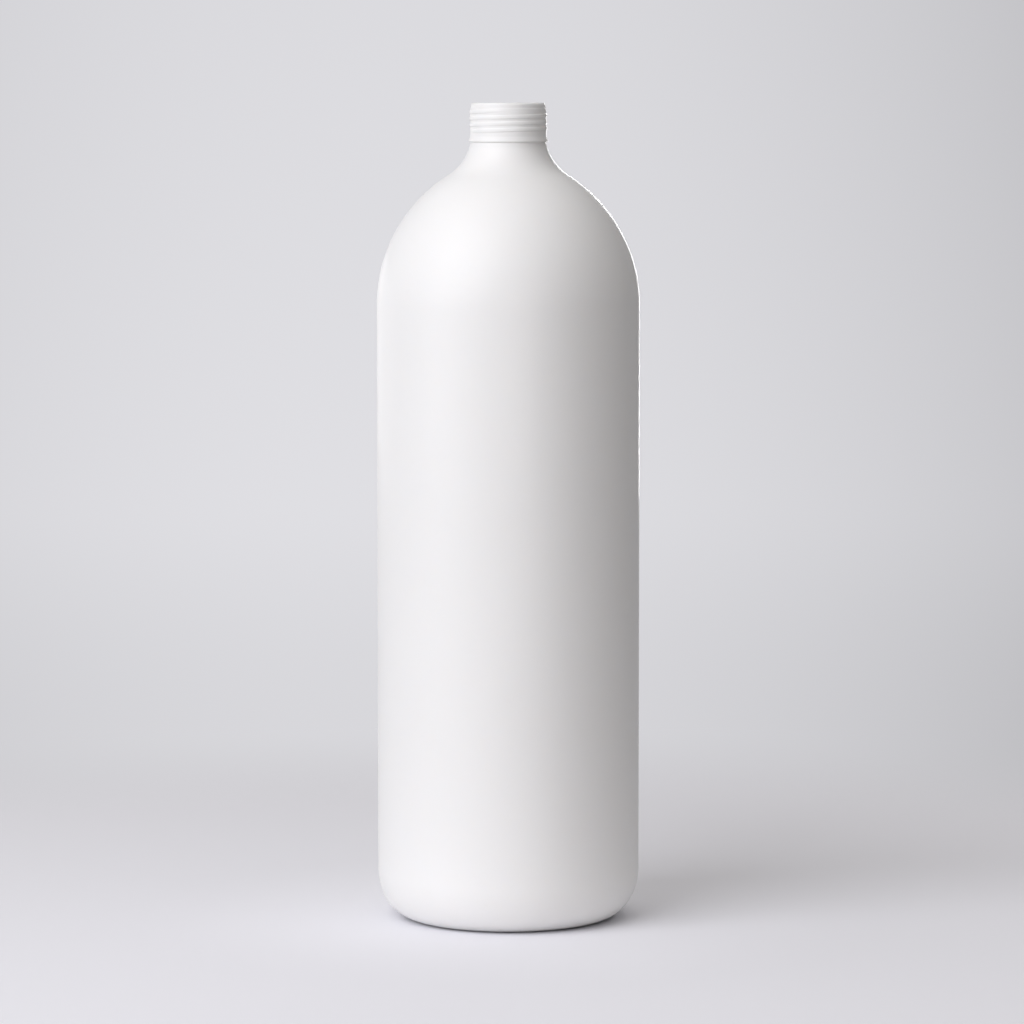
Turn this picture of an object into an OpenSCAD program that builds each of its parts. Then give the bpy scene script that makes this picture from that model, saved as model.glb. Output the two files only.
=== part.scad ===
// Plastic bottle, blown in one piece: a thin straight-walled body with a domed shoulder,
// a rounded base with a push-up, and an open neck with a screw thread for a cap.
// The axis is Z, the ring that it stands on lies on Z = 0, and the mouth opens upwards.

/* [Body] */
// Overall height, from the standing ring to the top of the lip
height = 249; // [210:1:300]
// Radius of the straight body
body_r = 40; // [34:0.5:44]
// Thickness of the blown wall in the body, shoulder and base
wall = 1.1; // [0.8:0.1:1.6]

/* [Shoulder] */
// Radius of the dome's arc, which leaves the straight body without an edge
dome_r = 46.5; // [44:0.5:56]
// Radius of the hollow arc that flares out from the neck into the dome
flare_r = 15.3; // [10:0.1:20]
// Angle of the flare from upright where it leaves the neck
flare_lean = 11.7; // [0:0.1:20]

/* [Base] */
// Width of the rounded corner between the body and the base
corner_r = 12; // [8:0.5:16]
// Height of that corner, which is a quarter of an ellipse
corner_h = 15; // [8:0.5:20]
// Width of the flat ring that the bottle stands on
ring_w = 3; // [2:0.5:6]
// Height of the push-up in the middle of the base
pushup_h = 3; // [1.5:0.5:5]

/* [Neck] */
// Height of the neck finish, from the underside of the bead to the top of the lip
finish_h = 12; // [11.5:0.1:16]
// Radius of the neck right under the bead
neck_r = 11.4; // [11:0.05:11.6]
// Radius of the open bore through the neck
bore_r = 9.5; // [7:0.1:10]
// Radius of the neck between the turns of the thread
root_r = 11.5; // [11.4:0.05:11.6]
// Radius of the plain lip above the thread
lip_r = 11.35; // [11:0.05:11.4]
// Height of the plain lip
lip_h = 1.7; // [1.4:0.1:2]
// Radius of the lip's rounded outer edge
lip_round = 0.8; // [0.3:0.1:0.9]
// Radius of the lip's rounded inner edge
mouth_round = 0.3; // [0.1:0.1:0.5]
// Radius of the bead at the foot of the finish
bead_r = 12; // [11.8:0.05:12.4]
// Height of the whole bead, up to where its sloping top ends
bead_h = 1.8; // [1:0.1:2]
// Height of the bead's sloping underside
bead_under = 0.3; // [0.1:0.05:0.4]
// Height of the bead's upright edge
bead_edge = 0.3; // [0.2:0.05:0.5]

/* [Thread] */
// Rise of the thread in one turn
thread_pitch = 1.92; // [1.8:0.02:1.92]
// Number of turns
thread_turns = 3.25; // [1.5:0.25:3.25]
// How far the thread stands out from the neck
thread_depth = 0.24; // [0.2:0.01:0.35]
// Width of the thread at its foot
thread_foot = 1.4; // [1.2:0.05:1.5]
// Width of the thread at its crest
thread_crest = 0.7; // [0.4:0.05:1]
// Distance from the top of the lip down to the lowest end of the thread
thread_drop = 8.65; // [8.4:0.05:9]
// Share of a turn over which each end of the thread fades into the neck
thread_fade = 0.12; // [0.05:0.01:0.25]

/* [Hidden] */

// Angle between neighbouring points of an arc in the wall's section
arc_step = 3;
// Steps in one turn of the thread
turn_steps = 36;
// Depth to which the thread's foot is buried in the neck
thread_sink = 0.1;
// Share of the thread's width that is left where it ends
thread_tip = 0.3;
// Direction in which the thread's lowest end points, on the left of the front
thread_start = 180;
// Height of the slope between the lip and the neck under it
lip_slope = 0.2;

// Radius at which the dome's arc has its centre, past the axis for a blunt shoulder
dome_x = body_r - dome_r;
// Height of the bead's underside, where the flare starts
bead_z = height - finish_h;
// Radius of the flare's centre on the outside, and of its centre on the inside
flare_x = neck_r + flare_r * cos(flare_lean);
flare_in_x = bore_r + flare_r + wall;
// Height from the dome's centre up to the flare's centre, for the two arcs to touch
function flare_rise(x) = sqrt(pow(dome_r + flare_r, 2) - pow(x - dome_x, 2));
// Height where the straight body ends and the dome starts
shoulder_z = bead_z + flare_r * sin(flare_lean) - flare_rise(flare_x);
// Inner radius of the standing ring, and radius of the push-up's shallow bowl
ring_in_r = body_r - corner_r - ring_w;
pushup_r = (pow(ring_in_r, 2) + pow(pushup_h, 2)) / (2 * pushup_h);

// Width of the thread where its sloping sides reach the buried foot
thread_base = thread_foot + (thread_foot - thread_crest) * thread_sink / thread_depth;

// Points along an arc about centre c, from angle a to angle b
function arc(c, r, a, b) =
    let (n = max(2, ceil(abs(b - a) / arc_step)))
    [for (i = [0:n]) let (t = a + (b - a) * i / n) c + r * [cos(t), sin(t)]];

// Points along the rounded corner, from the standing ring up to the straight body
function corner(inset) =
    [for (p = arc([0, 0], 1, -90, 0))
        [body_r - corner_r + (corner_r - inset) * p[0], corner_h + (corner_h - inset) * p[1]]];

// One side of the wall, from the axis out along the base and up to the neck. The inner side
// lies inset by the wall, on curves with the same centres, so that the wall stays even, and
// its flare leads into the bore, so that the wall thickens towards the neck.
function side(inset, x, flare, lean) =
    let (
        rise = flare_rise(x),
        meet = atan2(rise, x - dome_x),
        bowl = acos((pushup_r + inset - pushup_h) / (pushup_r + inset))
    )
    concat(
        arc([0, pushup_h - pushup_r], pushup_r + inset, 90, 90 - bowl),
        corner(inset),
        arc([dome_x, shoulder_z], dome_r - inset, 0, meet),
        arc([x, shoulder_z + rise], flare, 180 + meet, 180 + lean)
    );

// Outside of the neck finish, from the bead's underside up to the lip and over into the mouth
function finish() = concat(
    [
        [bead_r, bead_z + bead_under],
        [bead_r, bead_z + bead_under + bead_edge],
        [root_r, bead_z + bead_h],
        [root_r, height - lip_h - lip_slope],
        [lip_r, height - lip_h]
    ],
    arc([lip_r - lip_round, height - lip_round], lip_round, 0, 90),
    arc([bore_r + mouth_round, height - mouth_round], mouth_round, 90, 180)
);

// Section of the whole wall: up the outside, over the lip and back down the inside
function section() =
    let (inside = side(wall, flare_in_x, flare_r + wall, 0))
    concat(
        side(0, flare_x, flare_r, flare_lean),
        finish(),
        [for (i = [len(inside) - 1:-1:0]) inside[i]]
    );

// Four corners of the thread's section after t turns. Each end narrows and sinks into the neck.
function thread_ring(t) =
    let (
        full = min(1, t / thread_fade, (thread_turns - t) / thread_fade),
        share = thread_tip + (1 - thread_tip) * full,
        foot = [root_r - thread_sink, share * thread_base / 2],
        crest = [root_r - thread_sink / 2 + (thread_depth + thread_sink / 2) * full,
                 share * thread_crest / 2],
        a = thread_start + 360 * t,
        z = height - thread_drop + thread_pitch * t
    )
    [
        for (p = [[foot[0], -foot[1]], [crest[0], -crest[1]], crest, foot])
            [p[0] * cos(a), p[0] * sin(a), z + p[1]]
    ];

// Screw thread, one ridge wound up the neck
module thread() {
    steps = round(turn_steps * thread_turns);
    rings = [for (i = [0:steps]) each thread_ring(thread_turns * i / steps)];
    sides = [
        for (i = [0:steps - 1], k = [0:3])
            let (p = 4 * i + k, q = 4 * i + (k + 1) % 4)
            each [[p, q, q + 4], [p, q + 4, p + 4]]
    ];
    last = 4 * steps;
    polyhedron(
        points = rings,
        faces = concat(
            sides,
            [[2, 1, 0], [3, 2, 0]],
            [[last, last + 1, last + 2], [last, last + 2, last + 3]]
        ),
        convexity = 8
    );
}

module bottle() color("white") {
    rotate_extrude($fn = 120) polygon(section());
    thread();
}

bottle();
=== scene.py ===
"""Looks of a tall round white bottle with an open screw neck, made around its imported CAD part."""
import math

import bpy
import numpy as np
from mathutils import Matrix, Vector


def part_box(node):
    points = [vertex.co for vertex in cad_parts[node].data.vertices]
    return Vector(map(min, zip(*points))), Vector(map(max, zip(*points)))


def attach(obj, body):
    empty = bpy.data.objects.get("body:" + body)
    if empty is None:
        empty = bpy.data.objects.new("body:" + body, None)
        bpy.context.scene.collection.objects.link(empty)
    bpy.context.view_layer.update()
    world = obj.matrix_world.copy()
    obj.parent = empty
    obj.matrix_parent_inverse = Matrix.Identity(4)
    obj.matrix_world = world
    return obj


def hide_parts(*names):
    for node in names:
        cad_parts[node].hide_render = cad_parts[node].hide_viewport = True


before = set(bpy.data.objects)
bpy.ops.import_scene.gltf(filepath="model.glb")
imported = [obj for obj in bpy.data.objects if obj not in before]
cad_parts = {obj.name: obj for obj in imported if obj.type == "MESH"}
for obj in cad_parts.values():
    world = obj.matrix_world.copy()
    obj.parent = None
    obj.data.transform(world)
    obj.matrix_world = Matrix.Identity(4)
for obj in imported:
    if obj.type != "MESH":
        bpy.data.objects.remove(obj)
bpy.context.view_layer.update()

# Camera
# It stands in front of the bottle, just under the height of the lip, so that the mouth stays
# edge-on, and looks down a little. The long lens shows the bottle as the photograph does.
camera_distance = 1.380
camera_height = 0.246
camera_right = 0.00112
camera_pitch = 5.03
camera_lens = 159.5

camera = bpy.data.objects.new("camera", bpy.data.cameras.new("camera"))
camera.data.lens = camera_lens
camera.location = (camera_right, -camera_distance, camera_height)
camera.rotation_euler = (math.radians(90 - camera_pitch), 0, 0)
bpy.context.collection.objects.link(camera)
bpy.context.scene.camera = camera
bpy.context.scene.view_settings.view_transform = "Standard"

# Bottle
# One thin shell of white polyethylene, blown in a mould of two halves. The halves leave a faint
# line up both sides and a pinched weld across the push-up, and the lip is cut true afterwards.
mm = 0.001
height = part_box("bottle")[1].z
body_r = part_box("bottle")[1].x
wall = 1.1 * mm
dome_r = 46.5 * mm
flare_r = 15.3 * mm
flare_lean = 11.7
corner_w = 12 * mm
corner_h = 15 * mm
ring_w = 3 * mm
ring_round = 2 * mm
pushup_h = 3 * mm
bore_r = 9.5 * mm
neck_r = 11.4 * mm
root_r = 11.5 * mm
lip_r = 11.35 * mm
lip_h = 1.7 * mm
lip_slope = 0.2 * mm
lip_round = 0.8 * mm
mouth_round = 0.3 * mm
bead_z = height - 12 * mm
bead_r = 12 * mm
bead_h = 1.8 * mm
bead_under = 0.3 * mm
bead_edge = 0.3 * mm
bead_round = 0.12 * mm
neck_rows = 98


def arc(centre, radii, start, end, steps):
    """Points of an ellipse: its centre, plus the two radii times the cosine and sine of an angle
    that runs from start to end in degrees."""
    t = np.radians(np.linspace(start, end, steps + 1))
    return np.column_stack([centre[0] + radii[0] * np.cos(t), centre[1] + radii[1] * np.sin(t)])


def joined(runs):
    """One line of points through several runs, each of which starts where the last one ends."""
    return np.vstack([runs[0]] + [run[1:] for run in runs[1:]])


def wall_side(inset, flare_centre_r, lean, steps):
    """Points up one side of the wall, from the middle of the base to the neck: the push-up's
    shallow bowl, the standing ring, a quarter of an ellipse, the straight body, the dome's arc,
    and the flare's hollow arc, which touches the dome where the line of centres crosses it."""
    ring_in_r = body_r - corner_w - ring_w
    bowl_r = (ring_in_r**2 + pushup_h**2) / (2 * pushup_h)
    bowl_z = pushup_h - bowl_r
    edge_r = math.sqrt((bowl_r + ring_round) ** 2 - (ring_round - bowl_z) ** 2)
    edge_angle = math.degrees(math.atan2(edge_r, ring_round - bowl_z))
    dome_x = body_r - dome_r
    outer_x = neck_r + flare_r * math.cos(math.radians(flare_lean))
    outer_rise = math.sqrt((dome_r + flare_r) ** 2 - (outer_x - dome_x) ** 2)
    dome_z = bead_z + flare_r * math.sin(math.radians(flare_lean)) - outer_rise
    rise = math.sqrt((dome_r + flare_r) ** 2 - (flare_centre_r - dome_x) ** 2)
    meet = math.degrees(math.atan2(rise, flare_centre_r - dome_x))
    bowl = bowl_r + inset
    edge = ring_round - inset
    corner = (corner_w - inset, corner_h - inset)
    dome = dome_r - inset
    flare = flare_r + inset
    return joined([
        arc((0, bowl_z), (bowl, bowl), 90, 90 - edge_angle, steps[0]),
        arc((edge_r, ring_round), (edge, edge), -90 - edge_angle, -90, 3),
        np.linspace((edge_r, inset), (body_r - corner_w, inset), 3),
        arc((body_r - corner_w, corner_h), corner, -90, 0, steps[1]),
        np.linspace((body_r - inset, corner_h), (body_r - inset, dome_z), steps[2]),
        arc((dome_x, dome_z), (dome, dome), 0, meet, steps[3]),
        arc((flare_centre_r, dome_z + rise), (flare, flare), 180 + meet, 180 + lean, steps[4]),
    ])


def neck_outside():
    """Points up the neck: the bead, whose underside and top slope at angles with tangents of rise
    over run, the plain wall that the thread stands on, and the lip, rounded more outside than
    into the mouth. Both of the underside's ends are rounded with arcs that touch its slope."""
    under = math.atan2(bead_under, bead_r - neck_r)
    drop = bead_round * (math.cos(under) - (1 - math.sin(under)) * math.tan(under))
    hollow = (neck_r + bead_round, bead_z - drop)
    foot = (bead_r - bead_round, bead_z + bead_under + drop)
    head = (bead_r - bead_round, bead_z + bead_under + bead_edge)
    top = math.degrees(math.atan2(bead_r - root_r, bead_h - bead_under - bead_edge))
    rounds = [(r, r) for r in (bead_round, lip_round, mouth_round)]
    return np.vstack([
        arc(hollow, rounds[0], 180, 90 + math.degrees(under), 3),
        arc(foot, rounds[0], math.degrees(under) - 90, 0, 4),
        arc(head, rounds[0], 0, top, 3),
        np.linspace((root_r, bead_z + bead_h), (root_r, height - lip_h - lip_slope), neck_rows),
        np.linspace((lip_r, height - lip_h), (lip_r, height - lip_round), 4)[:-1],
        arc((lip_r - lip_round, height - lip_round), rounds[1], 0, 90, 10),
        arc((bore_r + mouth_round, height - mouth_round), rounds[2], 90, 180, 6),
    ])


thread_pitch = 1.92 * mm
thread_turns = 3.25
thread_depth = 0.24 * mm
thread_foot = 1.4 * mm
thread_crest = 0.7 * mm
thread_z = height - 8.65 * mm
thread_start = 180
thread_fade = 0.12
thread_tip = 0.3


def thread_rise(angle, z):
    """How far the thread lifts the neck: its depth, times a smooth step that falls from 1 at the
    crest's edge to 0 at the foot's edge. A turn's middle climbs by one pitch each time round."""
    rise = np.zeros_like(z)
    for lap in range(math.ceil(thread_turns)):
        turns = (angle - thread_start) / 360 % 1 + lap
        full = np.clip(np.minimum(turns, thread_turns - turns) / thread_fade, 0, 1)
        share = thread_tip + (1 - thread_tip) * full
        off = np.abs(z - thread_z - thread_pitch * turns)
        flank = (share * thread_foot / 2 - off) / (share * (thread_foot - thread_crest) / 2)
        flank = np.clip(flank, 0, 1)
        rise = np.maximum(rise, thread_depth * full * flank**2 * (3 - 2 * flank))
    return rise


seam_height = 0.04 * mm
seam_width = 0.16 * mm
weld_height = 0.4 * mm
weld_width = 0.55 * mm
weld_length = 15 * mm


def seam_rise(angle, radius):
    """Height of the line that the mould's halves leave: a bell curve of the distance round the
    wall from the nearer of the two sides."""
    off = np.radians((angle + 90) % 180 - 90) * radius
    return seam_height * np.exp(-((off / seam_width) ** 2))


def weld_drop(x, y):
    """Height of the pinched weld under the push-up: a bell curve across it, which fades out
    smoothly towards both of its ends."""
    ends = np.clip((weld_length - np.abs(x)) / (0.2 * weld_length), 0, 1)
    return weld_height * np.exp(-((y / weld_width) ** 2)) * ends**2 * (3 - 2 * ends)


def shell_angles():
    """Angles round the bottle, one every 1.5 degrees and closer together beside both lines."""
    close = np.array([0.12, 0.24, 0.4, 0.75])
    near = np.concatenate([-close, close])
    return np.sort(np.concatenate([np.arange(0, 360, 1.5), near % 360, near + 180]))


def shell_points():
    """The whole shell as a grid: the wall's section carried round the axis, with the thread, the
    mould line and the weld added to it. Its first and last row are the two poles."""
    inner_x = bore_r + flare_r + wall
    outer_x = neck_r + flare_r * math.cos(math.radians(flare_lean))
    outside = wall_side(0, outer_x, flare_lean + 1, (14, 24, 18, 40, 22))
    inside = wall_side(wall, inner_x, 0, (8, 12, 8, 24, 16))
    neck = neck_outside()
    section = np.vstack([outside, neck, inside[::-1]])
    angle, r = np.meshgrid(shell_angles(), section[:, 0])
    z = np.repeat(section[:, 1:], angle.shape[1], axis=1)
    is_outside = np.arange(len(section))[:, None] < np.argmax(section[:, 1])
    above_base = np.clip(z / corner_h, 0, 1)
    seam = (seam_rise(angle, r) - seam_height) * above_base
    r = r + np.where(is_outside, thread_rise(angle, z) + seam, 0)
    x, y = r * np.cos(np.radians(angle)), r * np.sin(np.radians(angle))
    is_under = is_outside & (z <= pushup_h)
    z = z - np.where(is_under, weld_drop(x, y), 0)
    return np.stack([x, y, z], axis=2)


def closed_shell(name, grid):
    """A mesh of a grid whose columns run round the axis and whose first and last rows are poles:
    a four-sided face between neighbours, and a fan of triangles at each pole."""
    rows, columns = grid.shape[0] - 2, grid.shape[1]
    points = np.vstack([grid[1:-1].reshape(-1, 3), grid[0, 0], grid[-1, 0]])
    index = np.arange(rows * columns).reshape(rows, columns)
    after = np.roll(index, -1, axis=1)
    quads = np.stack([index[:-1], after[:-1], after[1:], index[1:]], axis=2).reshape(-1, 4)
    first = np.full(columns, rows * columns)
    fans = np.vstack([
        np.column_stack([first, after[0], index[0]]),
        np.column_stack([first + 1, index[-1], after[-1]]),
    ])
    mesh = bpy.data.meshes.new(name)
    mesh.from_pydata(points, [], quads.tolist() + fans.tolist())
    mesh.shade_smooth()
    piece = bpy.data.objects.new(name, mesh)
    bpy.context.collection.objects.link(piece)
    return piece


class Value:
    """A node's output. The usual signs of arithmetic between outputs and numbers add Math nodes."""

    def __init__(self, nodes, socket):
        self.nodes = nodes
        self.socket = socket

    def maths(self, operation, *others):
        """A Math node of this operation on this output and the others."""
        values = dict(enumerate((self, *others)))
        return self.nodes.add("ShaderNodeMath", {"operation": operation}, values)

    def also(self, output):
        """Another output of the same node."""
        return Value(self.nodes, self.socket.node.outputs[output])

    def __add__(self, other):
        return self.maths("ADD", other)

    def __mul__(self, other):
        return self.maths("MULTIPLY", other)

    def __truediv__(self, other):
        return self.maths("DIVIDE", other)

    def __sub__(self, other):
        return self.maths("SUBTRACT", other)

    def __rsub__(self, other):
        return self.nodes.add("ShaderNodeMath", {"operation": "SUBTRACT"}, {0: other, 1: self})

    __radd__ = __add__
    __rmul__ = __mul__


class Nodes:
    """The nodes of one material, which add() makes one at a time."""

    def __init__(self, name):
        self.material = bpy.data.materials.new(name)
        self.material.use_nodes = True
        self.tree = self.material.node_tree
        self.tree.nodes.clear()

    def add(self, kind, settings=None, sockets=None, output=0):
        """Adds a node of this kind, makes its settings, and then gives its sockets, by name or by
        number, a value or a link. It returns the output that was asked for."""
        node = self.tree.nodes.new(kind)
        for name, value in (settings or {}).items():
            setattr(node, name, value)
        for name, value in (sockets or {}).items():
            if isinstance(value, Value):
                self.tree.links.new(value.socket, node.inputs[name])
            else:
                node.inputs[name].default_value = value
        return Value(self, node.outputs[output]) if node.outputs else None

    def mixed(self, factor, first, second):
        """A colour between two others: the first where the factor is 0, the second where it is 1."""
        settings = {"data_type": "RGBA"}
        return self.add("ShaderNodeMix", settings, {0: factor, 6: first, 7: second}, 2)

    def noise(self, place, scale, detail=2.0):
        """Cloudy noise from 0 to 1, of so many clouds a metre."""
        return self.add("ShaderNodeTexNoise", None, {"Vector": place, "Scale": scale, "Detail": detail})


def white_polyethylene():
    """Satin white plastic with a thin smoother skin: cloudy tone, upright flow streaks from the
    blowing, and the fine grain of a blasted mould. The relief adds up heights in millimetres."""
    nodes = Nodes("white_polyethylene")
    place = nodes.add("ShaderNodeTexCoord", output="Object")
    upright = nodes.add("ShaderNodeMapping", None, {"Vector": place, "Scale": (1, 1, 0.03)})
    cloud = nodes.noise(place, 22)
    streak = nodes.noise(upright, 240)
    grain = nodes.noise(place, 2200, 1.0)
    ripple = nodes.noise(place, 130, 1.0)
    colour = nodes.mixed(cloud, (0.872, 0.870, 0.866, 1), (0.888, 0.886, 0.882, 1))
    roughness = 0.50 + 0.08 * cloud + 0.04 * streak
    relief = grain * 0.004 + streak * 0.008 + ripple * 0.006
    bump = nodes.add("ShaderNodeBump", None, {"Height": relief, "Distance": mm, "Strength": 1.0})
    surface = nodes.add("ShaderNodeBsdfPrincipled", None, {
        "Base Color": colour,
        "Roughness": roughness,
        "Normal": bump,
        "IOR": 1.54,
        "Coat Weight": 0.15,
        "Coat Roughness": 0.15,
        "Subsurface Weight": 0.15,
        "Subsurface Radius": (1.0, 0.9, 0.8),
        "Subsurface Scale": 0.8 * mm,
    })
    nodes.add("ShaderNodeOutputMaterial", None, {"Surface": surface})
    return nodes.material


bottle = closed_shell("bottle_shell", shell_points())
bottle.data.materials.append(white_polyethylene())
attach(bottle, "root")
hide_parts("bottle")

# Studio
# A round pale floor curves up into a wall beyond the camera, the same all round. Near the bottle
# it is matt and takes the shadow, and further out the camera sees a soft colour with painted shade,
# where the lamps' light would fall off.
floor_r = 1.5
curve_r = 0.8
wall_top = 1.7
# Tone of the far paper straight ahead, and the painted shade it loses to the right, to both sides and
# upwards
tone_ahead = 0.735
painted_shade_right = 0.054
painted_shade_aside = 0.0945
painted_shade_up = 0.09
# Half-widths of the picture in a sideways slope of one, and how many of them the tone follows
half_widths = 8.86
most_side = 1.3


def studio_points():
    """The floor and wall as a grid: a flat disc, a quarter circle and an upright wall, carried
    round the axis. The curve is walked from the middle outwards."""
    section = np.vstack([
        np.linspace((0, 0), (floor_r, 0), 40),
        arc((floor_r, curve_r), (curve_r, curve_r), -90, 0, 24)[1:],
        np.linspace((floor_r + curve_r, curve_r), (floor_r + curve_r, wall_top), 6)[1:],
    ])
    angle, r = np.meshgrid(np.radians(np.arange(0, 360, 3)), section[:, 0])
    z = np.repeat(section[:, 1:], angle.shape[1], axis=1)
    return np.stack([r * np.cos(angle), r * np.sin(angle), z], axis=2)


def open_bowl(name, grid):
    """A mesh of a grid whose columns run round the axis and whose first row is the middle. Its
    faces look inwards and upwards."""
    rows, columns = grid.shape[0] - 1, grid.shape[1]
    points = np.vstack([grid[1:].reshape(-1, 3), grid[0, 0]])
    index = np.arange(rows * columns).reshape(rows, columns)
    after = np.roll(index, -1, axis=1)
    quads = np.stack([index[:-1], index[1:], after[1:], after[:-1]], axis=2).reshape(-1, 4)
    fan = np.column_stack([np.full(columns, rows * columns), index[0], after[0]])
    mesh = bpy.data.meshes.new(name)
    mesh.from_pydata(points, [], quads.tolist() + fan.tolist())
    mesh.shade_smooth()
    bowl = bpy.data.objects.new(name, mesh)
    bpy.context.collection.objects.link(bowl)
    return bowl


def pale_paper():
    """Matt paper, paler beside the bottle: to the camera a painted glow of the light that the bottle
    throws on it. Its far part shows the camera a tone with painted shade that falls off upwards,
    towards the matt part, and to both sides, more to the right, where the lamps' light falls off.
    Other rays meet a darker paper, the more so further out, so that it gives little light back."""
    nodes = Nodes("pale_paper")
    place = nodes.add("ShaderNodeTexCoord", output="Object")
    x = nodes.add("ShaderNodeSeparateXYZ", None, {0: place}, "X")
    y, z = x.also("Y"), x.also("Z")
    out = (x * x + y * y).maths("SQRT")
    side = x / (out + camera_distance) * half_widths
    side = side.maths("MINIMUM", most_side).maths("MAXIMUM", -most_side)
    smooth = {"interpolation_type": "SMOOTHSTEP"}
    # A painted darker band just beyond the matt part, where the lamps' light falls off
    painted_dip = nodes.add(
        "ShaderNodeMapRange", smooth,
        {"Value": out, "From Min": 0.35, "From Max": 1.5, "To Min": 0.058, "To Max": 0.0},
    )
    near_far = nodes.add(
        "ShaderNodeMapRange", smooth, {"Value": out, "From Min": 0.2, "From Max": 0.43},
    )
    # The far tone with painted shade: darker to the right, away from the soft box, to both sides and
    # upwards
    tone = tone_ahead - side * painted_shade_right - side * side * painted_shade_aside - z * painted_shade_up - painted_dip
    far_colour = nodes.mixed(tone, (0, 0, 0, 1), (0.998, 0.993, 1.035, 1))
    ray = nodes.add("ShaderNodeLightPath", output="Is Camera Ray")
    seen = ray + ray.also("Is Glossy Ray") + ray.also("Is Transmission Ray")
    unseen_far = near_far * (1 - seen)
    close_by = nodes.add(
        "ShaderNodeMapRange", smooth,
        {"Value": out, "From Min": 0.045, "From Max": 0.12, "To Min": 1.0, "To Max": 0.0},
    )
    # Beside the bottle the paper shown to the camera is paler: a painted glow of the light the bottle
    # throws on the floor
    near_with_painted_glow = nodes.mixed(close_by, (0.850, 0.849, 0.895, 1), (0.895, 0.894, 0.942, 1))
    given_back = nodes.mixed(close_by, (0.60, 0.597, 0.617, 1), (0.92, 0.915, 0.945, 1))
    near_colour = nodes.mixed(seen, given_back, near_with_painted_glow)
    matt_colour = nodes.mixed(unseen_far, near_colour, (0.3, 0.3, 0.3, 1))
    matt = nodes.add("ShaderNodeBsdfDiffuse", None, {"Color": matt_colour})
    shown = nodes.add("ShaderNodeEmission", None, {"Color": far_colour, "Strength": 1.0})
    surface = nodes.add("ShaderNodeMixShader", None, {0: near_far * seen, 1: matt, 2: shown})
    nodes.add("ShaderNodeOutputMaterial", None, {"Surface": surface})
    return nodes.material


studio = open_bowl("studio_floor", studio_points())
studio.data.materials.append(pale_paper())

# Light
# A large soft box to the left of the camera lights the bottle and the floor. Dimmer lamps fill
# the bottle's left and front and draw its two edges, and they reach nothing else. One lamp
# lightens the floor alone, and a dim sky fills in from above.
aim = Vector((0, 0, height / 2))


def soft_box(name, azimuth, elevation, distance, size, level, colour):
    """A rectangular lamp that faces the bottle's middle, to the right of the camera for a
    positive azimuth. Level is about how bright a white wall that faces it looks there: the
    lamp's power over pi squared and its distance squared. It returns the lamp."""
    a, e = math.radians(azimuth), math.radians(elevation)
    out = Vector((math.sin(a) * math.cos(e), -math.cos(a) * math.cos(e), math.sin(e)))
    data = bpy.data.lights.new(name, "AREA")
    data.shape = "RECTANGLE"
    data.size, data.size_y = size
    data.energy = level * math.pi**2 * distance**2
    data.color = colour
    lamp = bpy.data.objects.new(name, data)
    lamp.location = aim + out * distance
    lamp.rotation_euler = out.to_track_quat("Z", "Y").to_euler()
    lamp.visible_camera = False
    bpy.context.collection.objects.link(lamp)
    return lamp


def light_only(piece, lamps):
    """Lets these lamps reach one piece and nothing else, through a collection that holds it."""
    reached = bpy.data.collections.new(piece.name + "_only")
    reached.objects.link(piece)
    for lamp in lamps:
        lamp.light_linking.receiver_collection = reached


soft_box("key_light", -42, 33, 1.2, (1.0, 1.15), 0.71, (0.96, 0.963, 1.0))
light_only(bottle, [
    soft_box("left_light", -60, 2, 1.6, (0.8, 0.8), 0.20, (0.96, 0.96, 1.0)),
    soft_box("front_light", 8, 2, 1.6, (0.8, 0.8), 0.18, (1.0, 0.93, 0.91)),
    soft_box("side_light", -140, 0, 1.6, (1.3, 0.5), 0.15, (1.0, 0.97, 0.97)),
    soft_box("rim_light", 172, 2, 1.5, (0.3, 0.6), 0.27, (1.0, 1.0, 1.0)),
])
light_only(studio, [
    soft_box("floor_light", 0, 89, 1.6, (1.5, 1.5), 0.145, (1.0, 0.975, 0.93)),
])

world = bpy.data.worlds.new("sky")
world.use_nodes = True
sky = world.node_tree.nodes["Background"].inputs
sky["Color"].default_value = (1.0, 0.973, 0.95, 1)
sky["Strength"].default_value = 0.57
bpy.context.scene.world = world
